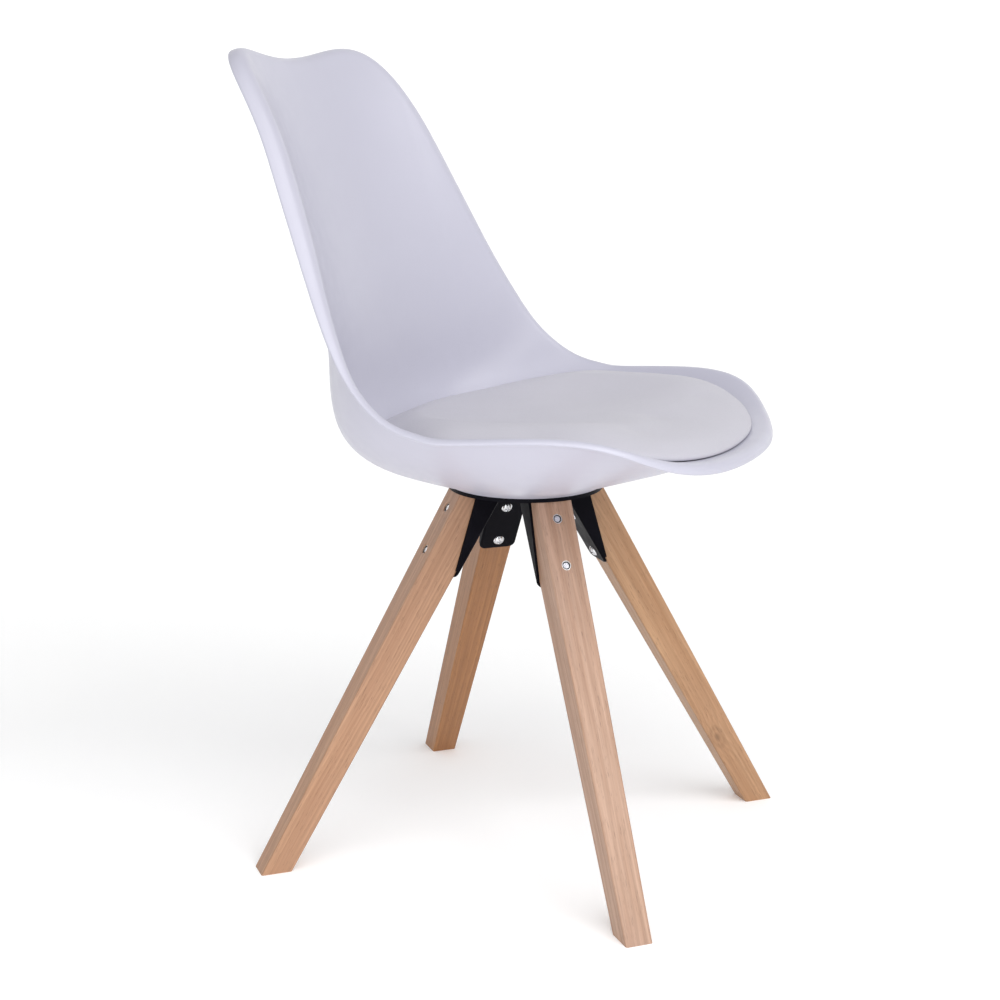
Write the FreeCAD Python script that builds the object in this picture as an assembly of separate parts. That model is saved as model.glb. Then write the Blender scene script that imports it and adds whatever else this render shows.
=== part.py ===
"""Dining chair: a moulded bucket seat with a loose cushion on four splayed wooden legs.

Millimetres. Floor at Z = 0, the chair faces -Y, the origin is on the floor under the centre
of the round mounting plate. Left and right are the sitter's, so the sitter's left is +X.
"""
import FreeCAD, Part
import math
import os

Vector = FreeCAD.Vector

# ---------------------------------------------------------------- legs
FOOT_RADIUS = 276.0          # floor centre of each leg, measured from the chair's axis
LEG_LEAN = 30.1              # degrees from vertical, along the diagonal
LEG_FOOT_SIZE = 27.7         # square section at the floor
LEG_TAPER = 0.0219           # growth of the section per millimetre of leg
LEG_EDGE_ROUND = 2.0
LEG_STOCK = 520.0            # length of the blank before both ends are cut level
LEG_SPARE = 60.0             # how much of the blank is below the floor

# ---------------------------------------------------------------- under-seat bracket
PLATE_RADIUS = 79.0
PLATE_THICK = 4.0
PLATE_TOP = 383.3
ARM_SHEET = 2.5
ARM_BOTTOM = 350.0           # along the leg from its foot
ARM_CORNER = 7.0             # rounding of the web's two lower corners
FOLD_RADIUS = 2.2            # outside of the sheet where a cheek folds off the web
CHEEK_REACH = 4.0            # how far a cheek passes the leg's middle at the plate
CHEEK_TOP = 437.0            # where a cheek is widest, along the leg from its foot
CHEEK_START = 2.0            # width of a cheek's lower end on the leg's side

# ---------------------------------------------------------------- fasteners
BOLT_PLACES = (362.0, 410.0)  # along the leg from its foot
BOLT_RADIUS = 3.0
BOLT_HEAD_RADIUS = 6.0
BOLT_HEAD_HEIGHT = 3.2
BOLT_END_RECESS = 1.4
HOLE_RADIUS = 3.25
NUT_RADIUS = 5.0
NUT_BORE = 3.05
NUT_LENGTH = 14.0
NUT_RECESS = 0.8
NUT_SINK_RADIUS = 4.1        # wider mouth of the nut, round the bolt's end
NUT_SINK_DEPTH = 2.5
CROSS_WIDTH = 1.3
CROSS_SPAN = 6.4
CROSS_DEPTH = 2.0
SCREW_CIRCLE = 55.0
SCREW_HEAD_HEIGHT = 4.0
WASHER_RADIUS = 7.0
WASHER_THICK = 1.2
INSERT_RADIUS = 4.5
INSERT_LENGTH = 6.5
SCREW_REACH = 5.5            # thread engaged above the plate

# ---------------------------------------------------------------- moulded shell
SHELL_WALL = 5.0
SHELL_FLOOR = 8.0            # thicker round pad over the mounting plate
FLOOR_FADE = 4               # exponent: how quickly the pad thins out to the wall
LIP_TURN = 95.0              # degrees that the edge rolls over, away from the sitter
LIP_TIP = 2.25               # rounds the end of the rolled edge
WALL_STEPS = 16              # control points from the pad to the edge
LIP_STEPS = 5                # and round the rolled edge
FRONT_CORNERS = (2.9, 2.86)   # exponents of the outline's rounding: sideways, lengthwise
TOP_CORNERS = (4.5, 36.0)
MERIDIANS = 144
# Cross-sections from the front edge, under the seat and up the back. Each one gives the
# middle (y, z), the edge (x, y, z), how sharply the section turns up, and the lip's radius.
SECTIONS = (
    ((-233.8, 438.5), (205.6, -232.4, 445.2), 1.3, 8.5),
    ((-208.0, 434.0), (213.3, -210.1, 465.5), 1.8, 7.5),
    ((-179.0, 424.5), (222.9, -182.5, 488.8), 2.4, 6.5),
    ((-134.0, 411.5), (224.4, -136.1, 490.5), 2.9, 6.5),
    ((-86.0, 399.0), (223.4, -87.3, 478.8), 3.1, 6.6),
    ((0.0, 391.3), (225.7, -13.2, 469.1), 3.0, 7.0),
    ((67.0, 397.0), (224.5, 12.1, 471.9), 3.0, 7.0),
    ((120.0, 409.2), (222.6, 40.9, 479.2), 3.1, 7.0),
    ((156.5, 433.5), (217.6, 67.1, 495.6), 3.05, 7.5),
    ((170.7, 477.3), (209.8, 87.8, 518.2), 2.75, 9.0),
    ((173.0, 529.6), (200.2, 105.0, 548.7), 2.35, 11.0),
    ((181.5, 589.7), (182.3, 130.1, 600.3), 2.2, 14.0),
    ((200.0, 645.0), (164.5, 152.9, 652.3), 2.25, 18.0),
    ((217.0, 690.0), (153.5, 175.0, 700.5), 2.3, 18.0),
    ((235.0, 741.0), (145.4, 198.0, 752.0), 2.3, 17.0),
    ((247.0, 773.0), (146.6, 221.2, 792.9), 2.2, 15.0),
    ((257.0, 799.0), (148.7, 248.4, 836.8), 2.0, 13.0),
)
PAD_SECTION = 5              # the section over the middle of the mounting plate

# ---------------------------------------------------------------- seat cushion
CUSHION_HEIGHT = 60.0        # in the middle, above the board
CUSHION_FRONT = 228.0        # along the seat from its middle
CUSHION_REAR = 165.0
CUSHION_WIDTH = 0.958        # share of the shell's half-width
CUSHION_SQUARENESS = 2.7
CUSHION_DOME = 6.7           # exponent: how flat the top is before it turns down
CUSHION_SIDE_THIN = 0.28     # share of the height that is lost at the sides
CUSHION_FRONT_THIN = 0.58    # and at the front
CUSHION_REAR_THIN = 0.77     # and the same distance behind the middle
CUSHION_THIN_POWER = 2.7
CUSHION_GAP = 0.6            # clearance to the shell
BOARD_THICK = 4.0
COVER_THICK = 1.4
LAYER_GAP = 0.2
CUSHION_MERIDIANS = 64
POLE_RADIUS = 12.0           # the small level disc that closes a layer in its middle
# Where each layer's control loops lie, as shares of the way to the outline.
BOARD_SHARES = [0.15, 0.3, 0.45, 0.6, 0.72, 0.82, 0.9, 0.94]
FOAM_SHARES = [0.15, 0.3, 0.45, 0.6, 0.72, 0.81, 0.88, 0.93, 0.955]
COVER_SHARES = [0.15, 0.3, 0.45, 0.6, 0.72, 0.81, 0.88, 0.93, 0.96]
# The cover's turned-in hem: (share of the outline, share of the cushion's height).
HEM_INSIDE = ((0.968, 0.4), (0.968, 0.0))
HEM_OUTSIDE = ((0.99, 0.0), (0.993, 0.5), (0.98, 1.0))

# ---------------------------------------------------------------- working values
SLOPE_STEP = 0.5             # distance over which a surface's direction is measured
ANGLE_STEP = 0.01            # radians, the same along the outline
HALVINGS = 40                # of the search for the rounded outline
FOLD_TOLERANCE = 0.05
OVERCUT = 5.0                # how far a cutting tool passes the face that it cuts
BLOCK_SIZE = 900.0           # wider than the chair
BLOCK_BASE = -100.0


# ================================================================ helpers
def save(shape, name):
    """Write one named piece to its STEP file."""
    shape.exportStep("parts/" + name + ".step")


def blend(start, end, amount):
    return start + (end - start) * amount


def rounded_reach(side, lengthwise, side_power, length_power):
    """How far a ray goes from the middle of a unit square with rounded corners."""
    low = 0.0
    high = 2.0
    for halving in range(HALVINGS):
        reach = (low + high) / 2
        total = (reach * abs(side)) ** side_power + (reach * abs(lengthwise)) ** length_power
        if total < 1:
            low = reach
        else:
            high = reach
    return low


def rod(base, direction, radius, length):
    return Part.makeCylinder(radius, length, base, direction)


def ring(base, direction, outer, inner, length):
    return rod(base, direction, outer, length).cut(rod(base, direction, inner, length))


def skin_of(rows, degree=3):
    """A smooth surface whose control net is the rows; every row is a closed loop."""
    around = len(rows[0])
    along = len(rows)
    net = [[rows[j][i] for j in range(along)] for i in range(around)]
    along_knots = list(range(along - degree + 1))
    along_mults = [1] * len(along_knots)
    along_mults[0] = along_mults[-1] = degree + 1
    surface = Part.BSplineSurface()
    surface.buildFromPolesMultsKnots(
        net, [1] * (around + 1), along_mults, list(range(around + 1)), along_knots,
        True, False, degree, degree)
    return surface


def closed_body(rows):
    """A solid from loops that run from one level disc to another."""
    skin = skin_of(rows).toShape()
    rims = [edge for edge in skin.Edges if not edge.isSeam(skin)]
    discs = [Part.Face(Part.Wire([edge])) for edge in rims]
    sewn = Part.makeShell([skin] + discs)
    sewn.sewShape()
    body = Part.Solid(Part.Shell(sewn.Faces))
    if body.Volume < 0:
        body.reverse()
    return body


# ================================================================ the seat's form
class SeatForm:
    """The sitter's side of the shell, as a surface over (x, distance along the middle)."""

    def __init__(self):
        middles = [Vector(0, y, z) for (y, z), edge, fullness, lip in SECTIONS]
        edges = [Vector(*edge) for middle, edge, fullness, lip in SECTIONS]
        places = [0.0]
        for before, after in zip(middles, middles[1:]):
            places.append(places[-1] + before.distanceToPoint(after))
        traits = [Vector(section[2], section[3], place)
                  for section, place in zip(SECTIONS, places)]
        self.pad = places[PAD_SECTION]
        self.end = places[-1]
        self.middle = self.curve(middles, places)
        self.edge = self.curve(edges, places)
        self.traits = self.curve(traits, places)

    @staticmethod
    def curve(points, places):
        spline = Part.BSplineCurve()
        spline.interpolate(Points=points, Parameters=places)
        return spline

    def half_width(self, along):
        return self.edge.value(along).x

    def lip_radius(self, along):
        return self.traits.value(along).y

    def point(self, x, along):
        middle = self.middle.value(along)
        edge = self.edge.value(along)
        fullness = self.traits.value(along).x
        rise = (abs(x) / edge.x) ** fullness
        return Vector(x, blend(middle.y, edge.y, rise), blend(middle.z, edge.z, rise))

    def normal(self, x, along):
        """Unit normal towards the sitter."""
        across = self.point(x + SLOPE_STEP, along) - self.point(x - SLOPE_STEP, along)
        low = max(along - SLOPE_STEP, 0.0)
        high = min(along + SLOPE_STEP, self.end)
        lengthwise = self.point(x, high) - self.point(x, low)
        normal = across.cross(lengthwise)
        return normal.normalize()

    def outline(self, angle):
        """The edge as (x, along) in a direction from the middle of the pad."""
        side = math.cos(angle)
        lengthwise = math.sin(angle)
        corners = TOP_CORNERS if lengthwise > 0 else FRONT_CORNERS
        reach = rounded_reach(side, lengthwise, *corners)
        up = reach * lengthwise
        along = self.pad * (1 + up)
        if up > 0:
            along += (self.end - 2 * self.pad) * up * up
        along = min(max(along, 0.0), self.end)
        return reach * side * self.half_width(along), along


def angles(count):
    return [2 * math.pi * index / count for index in range(count)]


# ================================================================ moulded shell
def shell_meridian(form, angle):
    """Points from the inner floor out over the lip and back to the outer floor."""
    x_edge, along_edge = form.outline(angle)
    x_pad = PLATE_RADIUS * math.cos(angle)
    along_pad = form.pad + PLATE_RADIUS * math.sin(angle)
    inner = []
    outer = []
    for step in range(WALL_STEPS + 1):
        share = step / WALL_STEPS
        x = blend(x_pad, x_edge, share)
        along = blend(along_pad, along_edge, share)
        place = form.point(x, along)
        thick = SHELL_WALL + (SHELL_FLOOR - SHELL_WALL) * (1 - share) ** FLOOR_FADE
        inner.append(place)
        outer.append(place - form.normal(x, along) * thick)
    level = PLATE_TOP + SHELL_FLOOR
    inner[0] = Vector(x_pad, PLATE_RADIUS * math.sin(angle), level)
    outer[0] = Vector(x_pad, PLATE_RADIUS * math.sin(angle), PLATE_TOP)

    top = inner.pop()
    outer.pop()
    normal = form.normal(x_edge, along_edge)
    near = form.outline(angle - ANGLE_STEP)
    far = form.outline(angle + ANGLE_STEP)
    edge_run = (form.point(*far) - form.point(*near)).normalize()
    outward = edge_run.cross(normal).normalize()
    radius = form.lip_radius(along_edge)
    hub = top - normal * radius
    show = []
    hidden = []
    for step in range(LIP_STEPS + 1):
        turn = math.radians(LIP_TURN) * step / LIP_STEPS
        ray = normal * math.cos(turn) + outward * math.sin(turn)
        show.append(hub + ray * radius)
        hidden.append(hub + ray * (radius - SHELL_WALL))
    last = math.radians(LIP_TURN)
    tip_run = (outward * math.cos(last) - normal * math.sin(last)) * LIP_TIP
    tip = [show[-1] + tip_run, hidden[-1] + tip_run]
    return inner + show + tip + hidden[::-1] + outer[::-1]


def screw_spots(height):
    """The four places on the mounting plate between the legs."""
    return [Vector(SCREW_CIRCLE * math.cos(a), SCREW_CIRCLE * math.sin(a), height)
            for a in angles(4)]


def make_shell(form):
    columns = [shell_meridian(form, angle) for angle in angles(MERIDIANS)]
    rows = [[column[step] for column in columns] for step in range(len(columns[0]))]
    body = closed_body(rows)
    up = Vector(0, 0, 1)
    for spot in screw_spots(PLATE_TOP - OVERCUT):
        body = body.cut(rod(spot, up, INSERT_RADIUS, INSERT_LENGTH + OVERCUT))
    return body


# ================================================================ seat cushion
def cushion_spot(form, angle, share):
    """(x, along) at a share of the way from the cushion's middle to its outline."""
    side = math.cos(angle)
    lengthwise = math.sin(angle)
    reach = rounded_reach(side, lengthwise, CUSHION_SQUARENESS, CUSHION_SQUARENESS)
    limit = CUSHION_REAR if lengthwise > 0 else CUSHION_FRONT
    along = form.pad + share * reach * lengthwise * limit
    return share * reach * side * CUSHION_WIDTH * form.half_width(along), along


def cushion_height(form, x, along, share):
    """Thickness above the board: thinner towards the outline and round at the edge."""
    side_loss = CUSHION_SIDE_THIN * (x / form.half_width(along)) ** 2
    thin = CUSHION_FRONT_THIN if along < form.pad else CUSHION_REAR_THIN
    end_loss = thin * (abs(along - form.pad) / form.pad) ** CUSHION_THIN_POWER
    edge = max(1 - share ** CUSHION_DOME, 0.0) ** 0.5
    return CUSHION_HEIGHT * (1 - side_loss) * (1 - end_loss) * edge


def cushion_loop(form, share, lift, fill=0.0):
    """A closed loop at a share of the outline; fill adds that much of the cushion's height."""
    loop = []
    for angle in angles(CUSHION_MERIDIANS):
        x, along = cushion_spot(form, angle, share)
        rise = lift + fill * cushion_height(form, x, along, share)
        loop.append(form.point(x, along) + form.normal(x, along) * rise)
    return loop


def level_loop(form, lift):
    """The small level circle that closes a layer in its middle."""
    height = form.point(0, form.pad).z + lift
    return [Vector(POLE_RADIUS * math.cos(a), POLE_RADIUS * math.sin(a), height)
            for a in angles(CUSHION_MERIDIANS)]


def layer(form, low, high, shares, fill=0.0):
    """A closed layer of the cushion between two heights above the shell."""
    rows = [level_loop(form, low)]
    rows += [cushion_loop(form, share, low) for share in shares]
    rows += [cushion_loop(form, share, high, fill) for share in reversed(shares)]
    rows.append(level_loop(form, high + fill * CUSHION_HEIGHT))
    return closed_body(rows)


def make_board(form):
    return layer(form, CUSHION_GAP, CUSHION_GAP + BOARD_THICK, BOARD_SHARES)


def make_foam(form):
    base = CUSHION_GAP + BOARD_THICK + LAYER_GAP
    return layer(form, base, base - COVER_THICK - LAYER_GAP, FOAM_SHARES, 1.0)


def make_cover(form):
    """An upholstery skin over the foam, turned in under its edge down to the board."""
    base = CUSHION_GAP + BOARD_THICK + LAYER_GAP
    inside = base - COVER_THICK
    rows = [level_loop(form, inside + CUSHION_HEIGHT)]
    rows += [cushion_loop(form, share, inside, 1.0) for share in COVER_SHARES]
    rows += [cushion_loop(form, share, base, fill) for share, fill in HEM_INSIDE]
    rows += [cushion_loop(form, share, base, fill) for share, fill in HEM_OUTSIDE]
    rows += [cushion_loop(form, share, base, 1.0) for share in reversed(COVER_SHARES)]
    rows.append(level_loop(form, base + CUSHION_HEIGHT))
    return closed_body(rows)


# ================================================================ legs and bracket
class LegFrame:
    """A leg's own directions: up its length, out through its outer face, and sideways."""

    def __init__(self, side, depth):
        lean = math.radians(LEG_LEAN)
        radial = Vector(side, depth, 0).normalize()
        up = Vector(0, 0, 1)
        self.foot = radial * FOOT_RADIUS
        self.length = up * math.cos(lean) - radial * math.sin(lean)
        self.out = radial * math.cos(lean) + up * math.sin(lean)
        self.across = self.out.cross(self.length)

    def at(self, along, out, across):
        return self.foot + self.length * along + self.out * out + self.across * across

    @staticmethod
    def half(along):
        return (LEG_FOOT_SIZE + LEG_TAPER * along) / 2


def below(height, base=BLOCK_BASE):
    """A block that keeps everything between two levels."""
    corner = Vector(-BLOCK_SIZE / 2, -BLOCK_SIZE / 2, base)
    return Part.makeBox(BLOCK_SIZE, BLOCK_SIZE, height - base, corner)


def make_leg(frame):
    squares = []
    for along in (-LEG_SPARE, LEG_STOCK):
        half = frame.half(along)
        squares.append([frame.at(along, out * half, across * half)
                        for out, across in ((-1, -1), (1, -1), (1, 1), (-1, 1))])
    foot, head = squares
    sides = [foot, head]
    sides += [[foot[i - 1], foot[i], head[i], head[i - 1]] for i in range(4)]
    faces = [Part.Face(Part.makePolygon(corners + [corners[0]])) for corners in sides]
    blank = Part.Solid(Part.makeShell(faces))
    long_edges = [edge for edge in blank.Edges if edge.Length > LEG_STOCK / 2]
    blank = blank.makeFillet(LEG_EDGE_ROUND, long_edges)
    leg = blank.common(below(PLATE_TOP - PLATE_THICK, 0.0))
    for place in BOLT_PLACES:
        half = frame.half(place)
        start = frame.at(place, -half - OVERCUT, 0)
        leg = leg.cut(rod(start, frame.out, HOLE_RADIUS, 2 * (half + OVERCUT)))
        pocket = NUT_LENGTH + NUT_RECESS
        floor = frame.at(place, half - pocket, 0)
        leg = leg.cut(rod(floor, frame.out, NUT_RADIUS, pocket + OVERCUT))
    return leg


def plate_between(outline, push):
    """A flat sheet: its outline, thickened by a vector."""
    face = Part.Face(Part.makePolygon(outline + [outline[0]]))
    return face.extrude(push)


def fold_edges(arm, frame):
    """The outside edges where the two cheeks fold off the web."""
    folds = []
    for edge in arm.Edges:
        place = edge.CenterOfMass - frame.foot
        corner = frame.half(place.dot(frame.length)) + ARM_SHEET
        inward = abs(place.dot(frame.out) + corner)
        sideways = abs(abs(place.dot(frame.across)) - corner)
        if max(inward, sideways) < FOLD_TOLERANCE:
            folds.append(edge)
    return folds


def make_arm(frame):
    """One folded bracket arm: a web on the leg's inner face and a cheek on each side."""
    low = ARM_BOTTOM
    high = LEG_STOCK

    web = [frame.at(along, -frame.half(along), side * (frame.half(along) + ARM_SHEET))
           for along, side in ((low, 1), (high, 1), (high, -1), (low, -1))]
    arm = plate_between(web, frame.out * -ARM_SHEET)
    corners = [edge for edge in arm.Edges if edge.Length < 2 * ARM_SHEET
               and (edge.CenterOfMass - frame.foot).dot(frame.length) < (low + high) / 2]
    arm = arm.makeFillet(ARM_CORNER, corners)
    for side in (-1, 1):
        def cheek_corner(along, out):
            return frame.at(along, out, side * frame.half(along))
        cheek = [cheek_corner(low + ARM_CORNER, -frame.half(low) - ARM_SHEET),
                 cheek_corner(low + ARM_CORNER, CHEEK_START - frame.half(low)),
                 cheek_corner(CHEEK_TOP, CHEEK_REACH),
                 cheek_corner(high, CHEEK_REACH),
                 cheek_corner(high, -frame.half(high) - ARM_SHEET)]
        arm = arm.fuse(plate_between(cheek, frame.across * side * ARM_SHEET))
    arm = arm.removeSplitter().common(below(PLATE_TOP - PLATE_THICK, 0.0))
    arm = arm.makeFillet(FOLD_RADIUS, fold_edges(arm, frame))
    for place in BOLT_PLACES:
        start = frame.at(place, -frame.half(place) - OVERCUT, 0)
        arm = arm.cut(rod(start, frame.out, HOLE_RADIUS, 2 * OVERCUT))
    return arm


def cross_recess(top, direction, sideways):
    """A cross-shaped driver recess, cut from the top of a head."""
    other = direction.cross(sideways)
    recess = None
    for a, b in ((sideways, other), (other, sideways)):
        half_long = a * (CROSS_SPAN / 2)
        half_wide = b * (CROSS_WIDTH / 2)
        base = top - direction * CROSS_DEPTH
        corners = [base - half_long - half_wide, base + half_long - half_wide,
                   base + half_long + half_wide, base - half_long + half_wide]
        slot = plate_between(corners, direction * (CROSS_DEPTH + OVERCUT))
        recess = slot if recess is None else recess.fuse(slot)
    return recess


def domed_head(seat, direction, radius, height):
    """A low domed screw head standing on a point."""
    dome_radius = (radius ** 2 + height ** 2) / (2 * height)
    ball = Part.makeSphere(dome_radius, seat + direction * (height - dome_radius))
    return ball.common(rod(seat, direction, radius, height + OVERCUT))


def make_leg_bolts(frame):
    bolts = []
    for place in BOLT_PLACES:
        half = frame.half(place)
        seat = frame.at(place, -half - ARM_SHEET, 0)
        shank = rod(seat, frame.out, BOLT_RADIUS, 2 * half + ARM_SHEET - BOLT_END_RECESS)
        head = domed_head(seat, frame.out * -1, BOLT_HEAD_RADIUS, BOLT_HEAD_HEIGHT)
        top = seat - frame.out * BOLT_HEAD_HEIGHT
        recess = cross_recess(top, frame.out * -1, frame.across)
        bolts.append(head.fuse(shank).cut(recess))
    return Part.makeCompound(bolts)


def make_sleeve_nuts(frame):
    nuts = []
    for place in BOLT_PLACES:
        base = frame.at(place, frame.half(place) - NUT_RECESS - NUT_LENGTH, 0)
        mouth = base + frame.out * (NUT_LENGTH - NUT_SINK_DEPTH)
        nut = ring(base, frame.out, NUT_RADIUS, NUT_BORE, NUT_LENGTH)
        nuts.append(nut.cut(rod(mouth, frame.out, NUT_SINK_RADIUS, NUT_SINK_DEPTH + OVERCUT)))
    return Part.makeCompound(nuts)


def make_plate():
    up = Vector(0, 0, 1)
    base = PLATE_TOP - PLATE_THICK
    plate = rod(Vector(0, 0, base), up, PLATE_RADIUS, PLATE_THICK)
    for spot in screw_spots(base - OVERCUT):
        plate = plate.cut(rod(spot, up, HOLE_RADIUS, PLATE_THICK + 2 * OVERCUT))
    return plate


def make_plate_screws():
    down = Vector(0, 0, -1)
    under = PLATE_TOP - PLATE_THICK - WASHER_THICK
    screws = []
    for spot in screw_spots(under):
        reach = WASHER_THICK + PLATE_THICK + SCREW_REACH
        head = domed_head(spot, down, BOLT_HEAD_RADIUS, SCREW_HEAD_HEIGHT)
        shank = rod(spot, down * -1, BOLT_RADIUS, reach)
        top = spot + down * SCREW_HEAD_HEIGHT
        screws.append(head.fuse(shank).cut(cross_recess(top, down, Vector(1, 0, 0))))
    return Part.makeCompound(screws)


def make_plate_washers():
    up = Vector(0, 0, 1)
    base = PLATE_TOP - PLATE_THICK - WASHER_THICK
    return Part.makeCompound([ring(spot, up, WASHER_RADIUS, HOLE_RADIUS, WASHER_THICK)
                              for spot in screw_spots(base)])


def make_inserts():
    up = Vector(0, 0, 1)
    return Part.makeCompound([ring(spot, up, INSERT_RADIUS, NUT_BORE, INSERT_LENGTH)
                              for spot in screw_spots(PLATE_TOP)])


# ================================================================ build
os.makedirs("parts", exist_ok=True)
seat = SeatForm()
save(make_shell(seat), "seat_shell")
save(make_inserts(), "shell_inserts")
save(make_board(seat), "cushion_board")
save(make_foam(seat), "cushion_foam")
save(make_cover(seat), "cushion_cover")
save(make_plate(), "bracket_plate")
save(make_plate_screws(), "plate_screws")
save(make_plate_washers(), "plate_washers")
for corner, side, depth in (("front_left", 1, -1), ("front_right", -1, -1),
                            ("rear_left", 1, 1), ("rear_right", -1, 1)):
    frame = LegFrame(side, depth)
    save(make_leg(frame), "leg_" + corner)
    save(make_arm(frame), "bracket_arm_" + corner)
    save(make_leg_bolts(frame), "leg_bolts_" + corner)
    save(make_sleeve_nuts(frame), "sleeve_nuts_" + corner)
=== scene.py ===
import math

import bmesh
import bpy
from mathutils import Matrix, Vector, geometry
from mathutils.bvhtree import BVHTree


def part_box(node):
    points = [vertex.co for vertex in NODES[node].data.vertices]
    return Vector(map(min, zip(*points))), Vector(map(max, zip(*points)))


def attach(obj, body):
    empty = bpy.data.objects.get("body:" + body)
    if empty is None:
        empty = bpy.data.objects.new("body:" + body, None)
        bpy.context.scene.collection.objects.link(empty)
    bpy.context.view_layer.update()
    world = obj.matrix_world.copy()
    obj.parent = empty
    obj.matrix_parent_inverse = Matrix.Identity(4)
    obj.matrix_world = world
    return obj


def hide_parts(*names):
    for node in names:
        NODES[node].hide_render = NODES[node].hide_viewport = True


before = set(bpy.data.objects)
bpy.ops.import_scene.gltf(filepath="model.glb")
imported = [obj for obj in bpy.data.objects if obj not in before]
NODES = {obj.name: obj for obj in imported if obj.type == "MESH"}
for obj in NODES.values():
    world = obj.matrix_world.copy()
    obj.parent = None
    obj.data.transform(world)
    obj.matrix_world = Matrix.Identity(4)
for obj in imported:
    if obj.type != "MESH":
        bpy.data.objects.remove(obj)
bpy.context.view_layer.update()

SCENE = bpy.context.scene
# Each corner's signs of x and y: the sitter's left is +x and the front is -y.
CORNERS = {"front_left": (1, -1), "front_right": (-1, -1),
           "rear_left": (1, 1), "rear_right": (-1, 1)}

# ---------------------------------------------------------------- camera and light
CAMERA_PLACE = Vector((-1.75598, -0.75555, 0.80915))
CAMERA_DIRECTION = Vector((0.88927, 0.39719, -0.22680))
CAMERA_LENS = 68.6
CAMERA_SENSOR = 36.0
ROOM_LIGHT = 0.50
SUN_SPREAD = math.radians(45.0)
SUNS = (("high_side", (-1.0, -0.3, 1.5), 0.68),       # name, where from, strength
        ("high_front", (-0.2, -1.0, 0.85), 1.09))
SOFT_BOXES = (("low_side", (-1.2, -0.1, 0.35), 3.2),  # name, place, watts
              ("near", (-0.9, -0.9, 0.9), 4.4))
SOFT_BOX_SIZE = (0.9, 0.6)
SEAT_LEVEL = 0.45            # the height that the soft boxes are aimed at

# ---------------------------------------------------------------- stage
FLOOR_NEAR = -6.0            # the floor's near end, along the view from the chair's axis
FLOOR_FAR = 5.0              # and where it starts to sweep up
SWEEP_RADIUS = 2.4
SWEEP_STEPS = 14
BACKDROP_TOP = 6.0
STAGE_HALF_WIDTH = 9.0

# ---------------------------------------------------------------- legs
LEG_LEAN = math.radians(30.1)
FOOT_RADIUS = 0.276
BOLT_HEIGHTS = (0.362, 0.410)   # along a leg from its foot
RECESS_SHADE_RADIUS = 0.0040       # of the painted shade round a bolt's end, in its nut's recess
RECESS_SHADE_BLEND = 0.0002

# ---------------------------------------------------------------- wood
RINGS_PER_METRE = 235.0
PITH = (0.062, 0.021)        # how far outside a leg the middle of its rings lies
PITH_SHIFT = 0.004           # how that changes with a leg's grain offset
RING_WAVE = 0.030            # how far the rings bend to and fro along a leg
RING_SLANT = 0.022           # and how steeply they run out of it
KNOT_REACH = 0.022           # how far from a knot the rings bend round it
KNOT_PUSH = 0.007
KNOT_SQUEEZE = 0.55          # a knot is this much shorter across the leg than along it
# Each leg's grain offset, its colours, how much of the blush shows, and its knot. The colours
# hold the wood's own tone and painted light: each leg is made lighter or darker as it is lit,
# rear_left darkest as painted shade.
WOODS = {
    "front_right": {"offset": (3.1, 7.7, 1.3), "light": (0.490, 0.312, 0.220),
                    "dark": (0.375, 0.212, 0.132), "blush": (0.470, 0.308, 0.258),
                    "blush_share": 0.80},
    "rear_right": {"offset": (11.2, 2.4, 5.9), "light": (0.500, 0.285, 0.165),
                   "dark": (0.390, 0.202, 0.108), "blush": (0.450, 0.255, 0.165),
                   "blush_share": 0.35},
    # rear_left: darker, more saturated colours, as painted shade
    "rear_left": {"offset": (6.3, 13.1, 8.2), "light": (0.435, 0.196, 0.070),
                  "dark": (0.325, 0.138, 0.046), "blush": (0.400, 0.185, 0.080),
                  "blush_share": 0.25},
    "front_left": {"offset": (9.4, 4.2, 15.7), "light": (0.530, 0.312, 0.170),
                   "dark": (0.395, 0.205, 0.098), "blush": (0.480, 0.280, 0.170),
                   "blush_share": 0.30, "knot": (-0.006, -0.016, 0.098)},
}

# ---------------------------------------------------------------- cushion
AROUND = 112                 # grid lines round the cushion's middle
ACROSS = 24                  # and from its middle to its edge
CUSHION_HEIGHT = 0.0625      # in the middle, above the gap
CUSHION_GAP = 0.0004         # between the edge and the shell
DOME_POWER = 11.0            # how flat the top is before it turns down
SIDE_THIN = 0.28             # share of the height lost at the sides
FRONT_THIN = 0.58            # at the front
REAR_THIN = 0.92             # and the same distance behind the middle
THIN_POWER = 2.7
SEAT_HALF_WIDTH = 0.2245
SEAT_DEPTH = 0.228           # from the chair's axis to the front edge
EDGE_REACH = 0.0038          # how far the edge passes the CAD cover seen from above
EDGE_REACH_STEEP = 0.0045    # and how much more where the seat's side is steep
# The underside's rings: (share of the way to the edge, height above the shell or the guide).
UNDERSIDE = ((0.985, 0.0004), (0.970, 0.0004), (0.960, 0.0052), (0.7, 0.0052), (0.3, 0.0052))
START_SIZE = 0.97            # share of its height that the cushion has before it swells
PROBE_HEIGHT = 0.6           # the seat is probed downwards from here
BOARD_TOP = 0.0046           # height of the board's top above the shell
BOARD_SHARE = 0.85           # within this share of the outline the board is the guide
NORMAL_SPREAD = 0.004        # the guide's directions are averaged this far each way
CLOTH_FRAMES = 20
CLOTH_PRESSURE = 4.0
SWELL_LIMIT = 0.004          # the furthest that a point may move in the simulation
CALM_RINGS = 5               # rings round the middle that move together
HELD_HEIGHT = 0.006          # points nearer the shell than this are held still
SMOOTH_ROUNDS = 3
SHELL_REACH = 0.02           # only points nearer the shell than this are kept clear of it
SHELL_CLEARANCE = 0.0003

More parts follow.
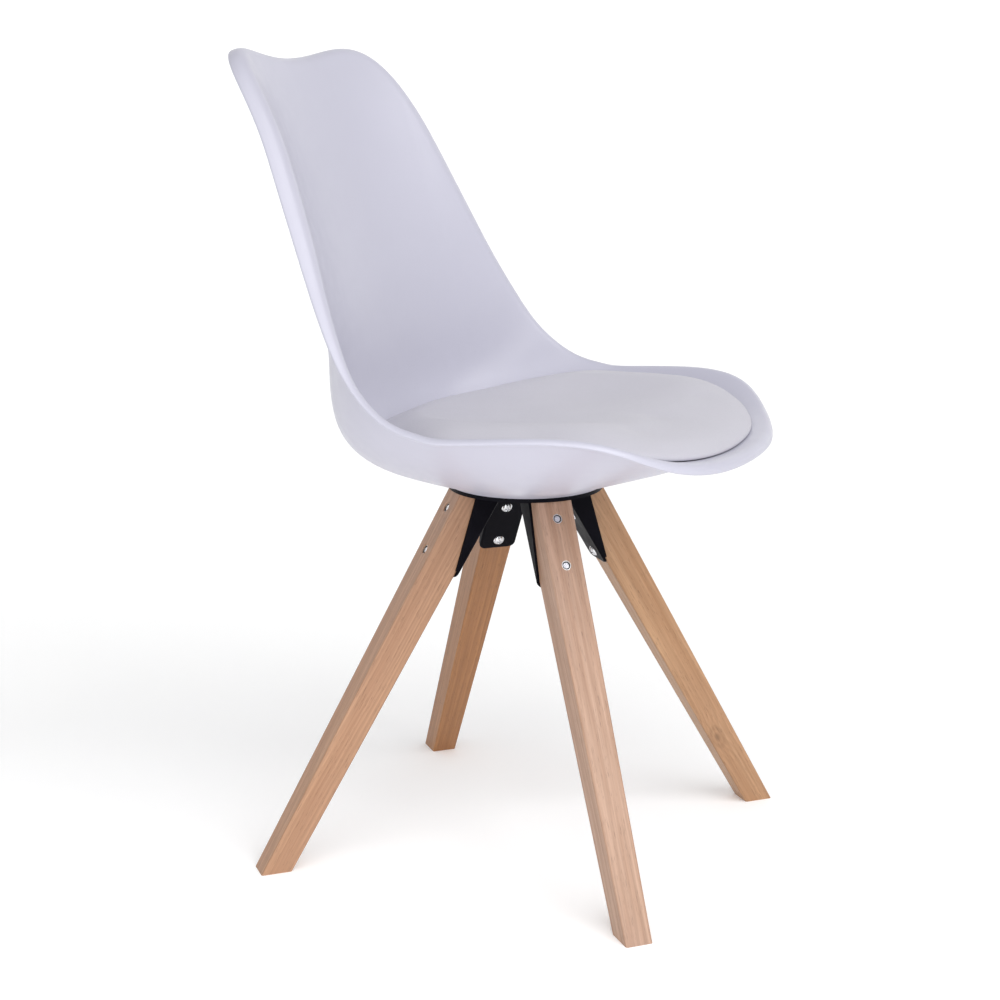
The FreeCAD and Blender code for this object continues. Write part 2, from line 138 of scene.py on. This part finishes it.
# ---------------------------------------------------------------- welds
BEAD_RADIUS = 0.0019
BEAD_PITCH = 0.0022          # from one drop of a bead to the next
BEAD_LENGTH = 1.15           # of a drop, as shares of its radius: along the seam
BEAD_DEPTH = 0.8             # and downwards
BEAD_UNEVENNESS = 0.12       # how much its width varies
BEAD_SINK = 0.0004           # the bead's middle is this far below the plate
PLATE_MARGIN = 0.004         # the beads end this far inside the plate's edge
TOUCH = 0.0002               # an arm's points nearer the plate than this meet it

# ================================================================ node helpers
class Shader:
    """A material's node tree with short calls for the nodes used here."""

    def __init__(self, name):
        self.material = bpy.data.materials.new(name)
        self.material.use_nodes = True
        self.tree = self.material.node_tree
        self.surface = self.tree.nodes["Principled BSDF"]

    def add(self, kind, **settings):
        node = self.tree.nodes.new(kind)
        for key, value in settings.items():
            setattr(node, key, value)
        return node

    def join(self, source, target):
        self.tree.links.new(source, target)

    def feed(self, socket, value):
        if isinstance(value, bpy.types.NodeSocket):
            self.join(value, socket)
        else:
            socket.default_value = value

    def place(self, rotation=(0, 0, 0), location=(0, 0, 0), scale=(1, 1, 1), source=None):
        """Object coordinates, turned, moved and then stretched."""
        if source is None:
            source = self.add("ShaderNodeTexCoord").outputs["Object"]
        turn = self.add("ShaderNodeMapping")
        self.join(source, turn.inputs["Vector"])
        turn.inputs["Rotation"].default_value = rotation
        turn.inputs["Location"].default_value = location
        turn.inputs["Scale"].default_value = scale
        return turn.outputs["Vector"]

    def noise(self, vector, scale, detail=3.0, rough=0.5, distortion=0.0):
        node = self.add("ShaderNodeTexNoise")
        self.join(vector, node.inputs["Vector"])
        node.inputs["Scale"].default_value = scale
        node.inputs["Detail"].default_value = detail
        node.inputs["Roughness"].default_value = rough
        node.inputs["Distortion"].default_value = distortion
        return node.outputs["Fac"]

    def cells(self, vector, scale, feature="F1"):
        node = self.add("ShaderNodeTexVoronoi", feature=feature)
        self.join(vector, node.inputs["Vector"])
        node.inputs["Scale"].default_value = scale
        return node.outputs["Distance"]

    def math(self, operation, first, second=0.0, third=0.0, clamp=False):
        node = self.add("ShaderNodeMath", operation=operation, use_clamp=clamp)
        for socket, value in zip(node.inputs, (first, second, third)):
            self.feed(socket, value)
        return node.outputs["Value"]

    def span(self, value, low, high, out_low=0.0, out_high=1.0):
        node = self.add("ShaderNodeMapRange", interpolation_type="SMOOTHSTEP")
        for key, item in zip(("Value", "From Min", "From Max", "To Min", "To Max"),
                             (value, low, high, out_low, out_high)):
            self.feed(node.inputs[key], item)
        return node.outputs["Result"]

    def mix(self, amount, first, second, kind="MIX"):
        node = self.add("ShaderNodeMix", data_type="RGBA", blend_type=kind)
        self.feed(node.inputs["Factor"], amount)
        for socket, value in ((node.inputs[6], first), (node.inputs[7], second)):
            if isinstance(value, bpy.types.NodeSocket):
                self.join(value, socket)
            else:
                socket.default_value = (*value, 1.0)
        return node.outputs[2]

    def split(self, vector):
        node = self.add("ShaderNodeSeparateXYZ")
        self.join(vector, node.inputs[0])
        return node.outputs

    def bump(self, height, distance, strength=1.0, below=None):
        node = self.add("ShaderNodeBump")
        node.inputs["Distance"].default_value = distance
        node.inputs["Strength"].default_value = strength
        self.join(height, node.inputs["Height"])
        if below is not None:
            self.join(below, node.inputs["Normal"])
        return node.outputs["Normal"]

    def finish(self, color, roughness, normal, **constants):
        self.feed(self.surface.inputs["Base Color"], color)
        self.feed(self.surface.inputs["Roughness"], roughness)
        self.join(normal, self.surface.inputs["Normal"])
        for key, value in constants.items():
            self.surface.inputs[key.replace("_", " ")].default_value = value
        return self.material


# ================================================================ materials
def shell_material():
    """Cool white moulded plastic: satin skin, faint flow lines, fine moulded grain."""
    s = Shader("shell_plastic")
    at = s.place()
    broad = s.noise(at, 9.0, 2.0)
    grain = s.noise(at, 1700.0, 2.0, 0.6)
    flow = s.noise(s.place(scale=(1, 0.3, 0.3)), 22.0, 3.0)
    color = s.mix(broad, (0.485, 0.480, 0.565), (0.515, 0.510, 0.597))
    color = s.mix(s.span(grain, 0.35, 0.65, 0.0, 0.05), color, (0.52, 0.52, 0.60))
    rough = s.span(s.noise(at, 60.0, 3.0), 0.3, 0.7, 0.34, 0.42)
    normal = s.bump(flow, 0.0006, 0.25)
    normal = s.bump(grain, 0.00006, 0.35, normal)
    return s.finish(color, rough, normal, Coat_Weight=0.12, Coat_Roughness=0.22)


def cushion_material():
    """Pale synthetic leather: pebbled grain with painted shade in its creases, soft sheen."""
    s = Shader("cushion_leather")
    at = s.place()
    pebbles = s.cells(at, 620.0, "SMOOTH_F1")
    creases = s.cells(at, 620.0, "DISTANCE_TO_EDGE")
    broad = s.noise(at, 14.0, 3.0)
    fine = s.noise(at, 2400.0, 2.0)
    color = s.mix(broad, (0.504, 0.495, 0.551), (0.538, 0.527, 0.585))
    # painted shade: the creases between the pebbles are darkened
    color = s.mix(s.span(creases, 0.0, 0.10, 0.22, 0.0), color, (0.44, 0.43, 0.48))
    rough = s.span(creases, 0.0, 0.3, 0.62, 0.50)
    normal = s.bump(s.noise(at, 38.0, 3.0), 0.0010, 0.22)
    normal = s.bump(pebbles, 0.00016, 0.35, normal)
    normal = s.bump(fine, 0.00004, 0.3, normal)
    return s.finish(color, rough, normal, Sheen_Weight=0.08, Sheen_Roughness=0.5)


def wood_material(name, axes, foot, offset, light, dark, blush, blush_share, knot=None):
    """Hardwood with its rings, fibres and pores along one leg, and perhaps a knot."""
    s = Shader(name)
    turn = axes.to_3x3().inverted()
    at = s.place(rotation=turn.to_euler(), location=-(turn @ foot))
    x, y, z = s.split(at)
    slow = s.noise(s.place(location=offset, scale=(14, 14, 2.2), source=at), 1.0, 3.0)
    slower = s.noise(s.place(location=offset, scale=(7, 7, 1.6), source=at), 1.0, 2.0)
    bend = s.math("MULTIPLY_ADD", s.math("SUBTRACT", slow, 0.5), RING_WAVE, x)
    sway = s.math("MULTIPLY_ADD", z, RING_SLANT, bend)
    far_x = s.math("ADD", sway, PITH[0] + offset[0] * PITH_SHIFT)
    far_y = s.math("ADD", y, PITH[1] + offset[1] * PITH_SHIFT)
    radius = s.math("SQRT", s.math("ADD", s.math("MULTIPLY", far_x, far_x),
                                   s.math("MULTIPLY", far_y, far_y)))
    if knot is not None:
        gap = s.add("ShaderNodeVectorMath", operation="SUBTRACT")
        s.join(at, gap.inputs[0])
        gap.inputs[1].default_value = knot
        squeezed = s.place(scale=(1, 1, KNOT_SQUEEZE), source=gap.outputs[0])
        length = s.add("ShaderNodeVectorMath", operation="LENGTH")
        s.join(squeezed, length.inputs[0])
        from_knot = length.outputs["Value"]
        swirl = s.span(from_knot, 0.0, KNOT_REACH, 1.0, 0.0)
        radius = s.math("MULTIPLY_ADD", swirl, KNOT_PUSH, radius)
    wave = s.math("FRACT", s.math("MULTIPLY", radius, RINGS_PER_METRE))
    ring = s.math("MULTIPLY", s.span(wave, 0.0, 0.78), s.span(wave, 0.84, 1.0, 1.0, 0.0))
    ring_strength = s.span(slower, 0.35, 0.65, 0.15, 0.60)
    fibre = s.noise(s.place(location=offset, scale=(520, 520, 9), source=at), 1.0, 4.0, 0.65)
    streak = s.noise(s.place(location=offset, scale=(120, 120, 3.2), source=at), 1.0, 3.0, 0.6)
    pore = s.noise(s.place(location=offset, scale=(1500, 1500, 85), source=at), 1.0, 1.0)
    pores = s.span(pore, 0.64, 0.72)
    color = s.mix(s.span(streak, 0.30, 0.70), dark, light)
    color = s.mix(s.math("MULTIPLY", ring, ring_strength), color,
                  tuple(channel * 0.74 for channel in dark))
    color = s.mix(s.span(slower, 0.40, 0.62, 0.0, blush_share), color, blush)
    color = s.mix(s.span(fibre, 0.30, 0.70, 0.34, 0.0), color,
                  tuple(channel * 0.55 for channel in dark))
    color = s.mix(s.math("MULTIPLY", pores, 0.55), color,
                  tuple(channel * 0.35 for channel in dark))
    if knot is not None:
        heart = s.span(from_knot, 0.0008, 0.0050, 0.60, 0.0)
        color = s.mix(heart, color, tuple(channel * 0.33 for channel in dark))
        edge = s.math("MULTIPLY", s.span(from_knot, 0.004, 0.0065),
                      s.span(from_knot, 0.0065, 0.010, 0.28, 0.0))
        color = s.mix(edge, color, tuple(channel * 0.45 for channel in dark))
    rough = s.span(fibre, 0.3, 0.7, 0.50, 0.42)
    normal = s.bump(fibre, 0.00012, 0.35)
    normal = s.bump(s.math("SUBTRACT", 1.0, pores), 0.00015, 0.30, normal)
    return s.finish(color, rough, normal, Coat_Weight=0.10, Coat_Roughness=0.30)


def steel_material():
    """Black powder coat: orange-peel texture and slightly rubbed patches."""
    s = Shader("black_steel")
    at = s.place()
    peel = s.noise(at, 900.0, 2.0, 0.6)
    rub = s.noise(at, 45.0, 4.0, 0.6)
    color = s.mix(s.span(rub, 0.45, 0.75), (0.0028, 0.0026, 0.0050), (0.0050, 0.0047, 0.0080))
    rough = s.span(rub, 0.3, 0.7, 0.36, 0.48)
    normal = s.bump(peel, 0.00010, 0.5)
    return s.finish(color, rough, normal, Specular_IOR_Level=0.05)


def zinc_material():
    """Bright zinc plate with faint turning marks and dull spots."""
    s = Shader("zinc")
    at = s.place()
    spots = s.noise(at, 320.0, 3.0, 0.6)
    marks = s.noise(s.place(scale=(1, 1, 9)), 700.0, 2.0)
    color = s.mix(s.span(spots, 0.35, 0.7), (0.80, 0.81, 0.83), (0.62, 0.63, 0.66))
    rough = s.span(spots, 0.3, 0.7, 0.16, 0.32)
    normal = s.bump(marks, 0.00004, 0.3)
    return s.finish(color, rough, normal, Metallic=1.0)


def nut_material(name, axes, foot):
    """Zinc sleeve nuts of one leg, with painted shade in the recess round each bolt's end."""
    s = Shader(name)
    turn = axes.to_3x3().inverted()
    at = s.place(rotation=turn.to_euler(), location=-(turn @ foot))
    y, z = s.split(at)[1:3]
    gaps = [s.math("ABSOLUTE", s.math("SUBTRACT", z, height)) for height in BOLT_HEIGHTS]
    gap = s.math("MINIMUM", *gaps)
    radius = s.math("SQRT", s.math("ADD", s.math("MULTIPLY", y, y),
                                   s.math("MULTIPLY", gap, gap)))
    recess_shade = s.span(radius, RECESS_SHADE_RADIUS, RECESS_SHADE_RADIUS + RECESS_SHADE_BLEND, 1.0, 0.0)
    spots = s.noise(at, 320.0, 3.0, 0.6)
    metal = s.mix(s.span(spots, 0.35, 0.7), (0.84, 0.83, 0.80), (0.66, 0.65, 0.63))
    # painted shade: the recess round each bolt's end is coloured near black and made rougher
    color = s.mix(recess_shade, metal, (0.030, 0.026, 0.022))
    rough = s.math("MULTIPLY_ADD", recess_shade, 0.35, 0.28)
    normal = s.bump(s.noise(at, 900.0, 2.0), 0.00003, 0.3)
    return s.finish(color, rough, normal, Metallic=1.0)


def brass_material():
    """Knurled brass of the threaded inserts."""
    s = Shader("brass")
    at = s.place()
    spots = s.noise(at, 420.0, 3.0)
    color = s.mix(spots, (0.72, 0.52, 0.22), (0.56, 0.38, 0.15))
    rough = s.span(spots, 0.3, 0.7, 0.24, 0.38)
    normal = s.bump(s.noise(at, 1500.0, 1.0), 0.00005, 0.4)
    return s.finish(color, rough, normal, Metallic=1.0)


def board_material():
    """Grey fibre-filled plastic of the cushion's base board."""
    s = Shader("board_plastic")
    at = s.place()
    fibres = s.noise(s.place(scale=(1, 0.2, 1)), 900.0, 3.0, 0.7)
    color = s.mix(fibres, (0.16, 0.16, 0.17), (0.24, 0.24, 0.25))
    rough = s.span(s.noise(at, 80.0, 3.0), 0.3, 0.7, 0.55, 0.70)
    normal = s.bump(fibres, 0.0001, 0.5)
    return s.finish(color, rough, normal)


def stage_material():
    """Plain white studio paper, lit a little from itself so that it stays white."""
    s = Shader("studio_floor")
    at = s.place()
    color = s.mix(s.noise(at, 3.0, 2.0), (0.935, 0.935, 0.935), (0.95, 0.95, 0.95))
    normal = s.bump(s.noise(at, 300.0, 2.0), 0.0001, 0.2)
    return s.finish(color, 0.85, normal, Specular_IOR_Level=0.15,
                    Emission_Color=(1.0, 1.0, 1.0, 1.0), Emission_Strength=0.12)


def paint(mesh, material):
    """Give a mesh one material all over."""
    mesh.materials.clear()
    mesh.materials.append(material)


def dress(node, material):
    """Give a CAD node its finish."""
    paint(NODES[node].data, material)


# ================================================================ geometry helpers
def leg_axes(side, depth):
    """A leg's directions as columns: outwards, sideways and up its length."""
    radial = Vector((side, depth, 0)).normalized()
    up = Vector((0, 0, 1))
    length = up * math.cos(LEG_LEAN) - radial * math.sin(LEG_LEAN)
    out = radial * math.cos(LEG_LEAN) + up * math.sin(LEG_LEAN)
    return radial, Matrix((out, length.cross(out), length)).transposed()


def shade_smooth(mesh):
    for face in mesh.polygons:
        face.use_smooth = True


def add_object(name, work):
    """An object with the shape of a bmesh, which is used up."""
    mesh = bpy.data.meshes.new(name)
    work.to_mesh(mesh)
    work.free()
    thing = bpy.data.objects.new(name, mesh)
    SCENE.collection.objects.link(thing)
    return thing


def apply_modifiers(piece):
    """Replace a piece's mesh with its evaluated mesh."""
    graph = bpy.context.evaluated_depsgraph_get()
    mesh = bpy.data.meshes.new_from_object(piece.evaluated_get(graph))
    piece.modifiers.clear()
    piece.data = mesh


# ================================================================ cushion
class Seat:
    """The surface that the cushion lies on: over its board, and beyond it on the shell."""

    def __init__(self):
        graph = bpy.context.evaluated_depsgraph_get()
        self.shell = BVHTree.FromObject(NODES["seat_shell"], graph)
        self.board = BVHTree.FromObject(NODES["cushion_board"], graph)

    def spot(self, x, y, share):
        """The place below a point, and the smoothed direction out of the surface."""
        tree, rise = (self.board, BOARD_TOP) if share < BOARD_SHARE else (self.shell, 0.0)
        down = Vector((0, 0, -1))
        place = tree.ray_cast(Vector((x, y, PROBE_HEIGHT)), down)[0]
        normal = Vector()
        for side in (-NORMAL_SPREAD, 0.0, NORMAL_SPREAD):
            for depth in (-NORMAL_SPREAD, 0.0, NORMAL_SPREAD):
                start = Vector((x + side, y + depth, PROBE_HEIGHT))
                normal += tree.ray_cast(start, down)[1]
        normal.normalize()
        return place - normal * rise, normal


def cushion_outline(seat):
    """Rays from the chair's axis to the cushion's edge, seen from above."""
    points = [vertex.co.xy for vertex in NODES["cushion_cover"].data.vertices]
    hull = [points[index] for index in geometry.convex_hull_2d(points)]
    rays = []
    for step in range(AROUND):
        angle = 2 * math.pi * step / AROUND
        ray = Vector((math.cos(angle), math.sin(angle)))
        for start, end in zip(hull, hull[1:] + hull[:1]):
            hit = geometry.intersect_line_line_2d(Vector((0, 0)), ray, start, end)
            if hit is not None:
                break
        steep = 1.0 - seat.spot(hit.x, hit.y, 1.0)[1].z
        rays.append(ray * (hit.length + EDGE_REACH + EDGE_REACH_STEEP * steep))
    return [(rays[step - 1] + rays[step] * 2 + rays[(step + 1) % AROUND]) / 4
            for step in range(AROUND)]


def cushion_height(x, y, share):
    """Height of the cushion's top above what it lies on, at a share of the way to its edge."""
    side_loss = SIDE_THIN * (x / SEAT_HALF_WIDTH) ** 2
    thin = FRONT_THIN if y < 0 else REAR_THIN
    end_loss = thin * (abs(y) / SEAT_DEPTH) ** THIN_POWER
    edge = max(1 - share ** DOME_POWER, 0.0) ** 0.5
    return CUSHION_GAP + CUSHION_HEIGHT * (1 - side_loss) * (1 - end_loss) * edge


def cushion_start(seat):
    """A closed grid over the seat: domed top, edge down on the shell, flat underside."""
    rays = cushion_outline(seat)
    top_shares = [math.sin(math.pi / 2 * step / ACROSS) for step in range(1, ACROSS + 1)]
    work = bmesh.new()

    def corner(x, y, share, height):
        place, normal = seat.spot(x, y, share)
        return work.verts.new(place + normal * height)

    def ring(share, height=None):
        spots = [ray * share for ray in rays]
        if height is not None:
            return [corner(spot.x, spot.y, share, height) for spot in spots]
        return [corner(spot.x, spot.y, share,
                       START_SIZE * cushion_height(spot.x, spot.y, share)) for spot in spots]

    top = corner(0.0, 0.0, 0.0, START_SIZE * cushion_height(0.0, 0.0, 0.0))
    rings = [ring(share) for share in top_shares]
    rings += [ring(share, height) for share, height in UNDERSIDE]
    bottom = corner(0.0, 0.0, 0.0, UNDERSIDE[-1][1])
    for index in range(AROUND):
        after = (index + 1) % AROUND
        work.faces.new((top, rings[0][index], rings[0][after]))
        work.faces.new((bottom, rings[-1][after], rings[-1][index]))
        for inner, outer in zip(rings, rings[1:]):
            work.faces.new((inner[index], outer[index], outer[after], inner[after]))
    bmesh.ops.recalc_face_normals(work, faces=work.faces)
    return add_object("seat_cushion", work)


def swell(cushion, seat):
    """Blow the cover up slightly, as padding does, with its underside held."""
    start = [vertex.co.copy() for vertex in cushion.data.vertices]
    held = cushion.vertex_groups.new(name="held")
    near = [index for index, place in enumerate(start)
            if seat.shell.find_nearest(place)[3] < HELD_HEIGHT]
    held.add(near, 1.0, "REPLACE")
    cloth = cushion.modifiers.new("cloth", "CLOTH")
    cloth.settings.quality = 6
    cloth.settings.mass = 0.3
    cloth.settings.tension_stiffness = 20
    cloth.settings.compression_stiffness = 20
    cloth.settings.bending_stiffness = 2.0
    cloth.settings.use_pressure = True
    cloth.settings.uniform_pressure_force = CLOTH_PRESSURE
    cloth.settings.vertex_group_mass = "held"
    cloth.settings.effector_weights.gravity = 0.0
    cloth.point_cache.frame_start = 1
    cloth.point_cache.frame_end = CLOTH_FRAMES
    for moment in range(1, CLOTH_FRAMES + 1):
        SCENE.frame_set(moment)
    apply_modifiers(cushion)
    SCENE.frame_set(1)
    moves = []
    for vertex, before in zip(cushion.data.vertices, start):
        move = vertex.co - before
        if move.length > SWELL_LIMIT:
            move = move.normalized() * SWELL_LIMIT
        moves.append(move)
    calm = 1 + CALM_RINGS * AROUND
    common = sum(moves[calm:calm + AROUND], Vector()) / AROUND
    moves[:calm] = [common] * calm
    for vertex, before, move in zip(cushion.data.vertices, start, moves):
        vertex.co = before + move


def keep_above_shell(cushion, seat):
    """Lift every point that has gone into the shell back onto its surface."""
    for vertex in cushion.data.vertices:
        place, normal, _, gap = seat.shell.find_nearest(vertex.co)
        if gap < SHELL_REACH and (vertex.co - place).dot(normal) < SHELL_CLEARANCE:
            vertex.co = place + normal * SHELL_CLEARANCE


def make_cushion(material):
    """The padded cushion, in place of the plain cover and foam."""
    seat = Seat()
    cushion = cushion_start(seat)
    swell(cushion, seat)
    smooth = cushion.modifiers.new("smooth", "SMOOTH")
    smooth.iterations = SMOOTH_ROUNDS
    subdivide = cushion.modifiers.new("subdivide", "SUBSURF")
    subdivide.levels = 1
    subdivide.render_levels = 1
    apply_modifiers(cushion)
    keep_above_shell(cushion, seat)
    paint(cushion.data, material)
    shade_smooth(cushion.data)
    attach(cushion, "root")
    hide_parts("cushion_cover", "cushion_foam")


# ================================================================ welds
def weld_bead(path):
    """A row of overlapping flattened drops along a path of points."""
    work = bmesh.new()
    for start, end in zip(path, path[1:]):
        run = end - start
        count = max(2, round(run.length / BEAD_PITCH))
        turn = run.to_track_quat("X", "Z").to_matrix().to_4x4()
        for step in range(count):
            place = start + run * (step + 0.5) / count - Vector((0, 0, BEAD_SINK))
            width = 1.0 + BEAD_UNEVENNESS * math.sin(7.1 * step + 11.0 * start.x)
            size = Matrix.Diagonal((BEAD_LENGTH, width, BEAD_DEPTH)) * BEAD_RADIUS
            bmesh.ops.create_icosphere(
                work, subdivisions=2, radius=1.0,
                matrix=Matrix.Translation(place) @ turn @ size.to_4x4())
    return work


def make_welds(material):
    """Weld seams where each bracket arm meets the underside of the round plate."""
    plate_low, plate_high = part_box("bracket_plate")
    level = plate_low.z
    limit = plate_high.x - PLATE_MARGIN
    for corner, (side, depth) in CORNERS.items():
        radial = leg_axes(side, depth)[0]
        across = Vector((0, 0, 1)).cross(radial)
        top = [vertex.co for vertex in NODES["bracket_arm_" + corner].data.vertices
               if vertex.co.z > level - TOUCH]
        inner = min(point.dot(radial) for point in top)
        outer = max(point.dot(radial) for point in top)
        half = max(abs(point.dot(across)) for point in top)
        outer = min(outer, math.sqrt(limit ** 2 - half ** 2))
        path = [radial * r + across * a + Vector((0, 0, level))
                for r, a in ((outer, -half), (inner, -half), (inner, half), (outer, half))]
        weld = add_object("weld_" + corner, weld_bead(path))
        paint(weld.data, material)
        shade_smooth(weld.data)
        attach(weld, "root")


# ================================================================ stage
def make_stage(material):
    """A floor that sweeps up into a backdrop, far beyond the chair."""
    work = bmesh.new()
    radial = CAMERA_DIRECTION.copy()
    radial.z = 0.0
    radial.normalize()
    side = Vector((0, 0, 1)).cross(radial)
    profile = [(FLOOR_NEAR, 0.0), (FLOOR_FAR, 0.0)]
    for step in range(1, SWEEP_STEPS + 1):
        angle = math.pi / 2 * step / SWEEP_STEPS
        profile.append((FLOOR_FAR + SWEEP_RADIUS * math.sin(angle),
                        SWEEP_RADIUS * (1 - math.cos(angle))))
    profile.append((FLOOR_FAR + SWEEP_RADIUS, BACKDROP_TOP))
    rows = []
    for away, height in profile:
        middle = radial * away + Vector((0, 0, height))
        rows.append([work.verts.new(middle + side * across)
                     for across in (-STAGE_HALF_WIDTH, STAGE_HALF_WIDTH)])
    for first, second in zip(rows, rows[1:]):
        work.faces.new((first[0], second[0], second[1], first[1]))
    floor = add_object("studio_floor", work)
    paint(floor.data, material)
    shade_smooth(floor.data)


def soft_sun(name, source, strength):
    """Even, very soft light from one side of the room."""
    data = bpy.data.lights.new(name, "SUN")
    data.energy = strength
    data.angle = SUN_SPREAD
    light = bpy.data.objects.new(name, data)
    light.rotation_euler = (-Vector(source)).to_track_quat("-Z", "Y").to_euler()
    SCENE.collection.objects.link(light)


def soft_box(name, place, power):
    """A rectangular studio lamp aimed at the seat."""
    data = bpy.data.lights.new(name, "AREA")
    data.shape = "RECTANGLE"
    data.size, data.size_y = SOFT_BOX_SIZE
    data.energy = power
    light = bpy.data.objects.new(name, data)
    light.location = place
    toward = Vector((0.0, 0.0, SEAT_LEVEL)) - Vector(place)
    light.rotation_euler = toward.to_track_quat("-Z", "Y").to_euler()
    light.visible_camera = False
    SCENE.collection.objects.link(light)


def make_light():
    """An evenly lit pale room with two soft suns and two soft boxes."""
    world = bpy.data.worlds.new("studio")
    SCENE.world = world
    world.use_nodes = True
    background = world.node_tree.nodes["Background"]
    background.inputs["Color"].default_value = (1.0, 1.0, 1.0, 1.0)
    background.inputs["Strength"].default_value = ROOM_LIGHT
    for sun in SUNS:
        soft_sun(*sun)
    for box in SOFT_BOXES:
        soft_box(*box)


def make_camera():
    data = bpy.data.cameras.new("camera")
    data.sensor_width = CAMERA_SENSOR
    data.lens = CAMERA_LENS
    camera = bpy.data.objects.new("camera", data)
    camera.location = CAMERA_PLACE
    camera.rotation_euler = CAMERA_DIRECTION.to_track_quat("-Z", "Y").to_euler()
    SCENE.collection.objects.link(camera)
    SCENE.camera = camera


# ================================================================ build
make_camera()
make_light()
SCENE.view_settings.view_transform = "Standard"
make_stage(stage_material())

steel = steel_material()
zinc = zinc_material()
dress("seat_shell", shell_material())
dress("shell_inserts", brass_material())
dress("cushion_board", board_material())
for node in ("bracket_plate",) + tuple("bracket_arm_" + corner for corner in CORNERS):
    dress(node, steel)
for node in ("plate_screws", "plate_washers"):
    dress(node, zinc)
for corner in CORNERS:
    dress("leg_bolts_" + corner, zinc)
for corner, wood in WOODS.items():
    radial, axes = leg_axes(*CORNERS[corner])
    foot = radial * FOOT_RADIUS
    dress("leg_" + corner, wood_material("leg_wood_" + corner, axes, foot, **wood))
    dress("sleeve_nuts_" + corner, nut_material("nut_zinc_" + corner, axes, foot))

make_welds(steel)
make_cushion(cushion_material())
